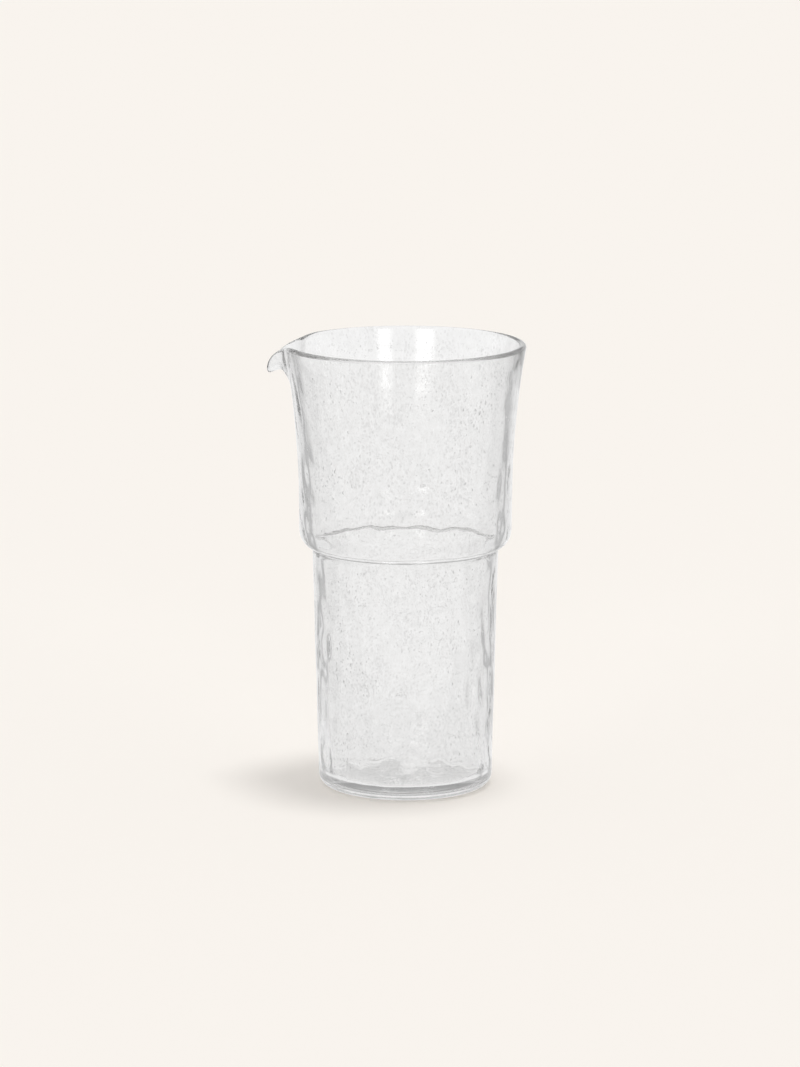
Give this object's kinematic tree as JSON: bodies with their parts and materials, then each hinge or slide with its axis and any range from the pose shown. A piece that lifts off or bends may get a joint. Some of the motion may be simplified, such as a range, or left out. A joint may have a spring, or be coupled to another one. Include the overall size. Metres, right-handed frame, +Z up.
{
  "type": "glass carafe",
  "caption": "Handleless carafe of clear seedy blown glass: tapered cup to hold, a step, a wider flaring bowl with a rounded rim, and a pulled pouring lip.",
  "frame": {"origin": "middle of the flat underside, on the axis of the vessel", "axes": "+Z up along the axis of the vessel, -X towards the pouring lip, +Y completes a right-handed frame"},
  "size_m": [0.1331, 0.1234, 0.23],
  "materials": {
    "clear_glass": "clear, fire-polished outside, softly dimpled inside, with fine seed bubbles"
  },
  "bodies": {
    "root": {"floor_disc": "clear_glass", "lower_cup": "clear_glass", "upper_bowl": "clear_glass", "rim_band": "clear_glass", "pouring_lip": "clear_glass"}
  },
  "joints": []
}
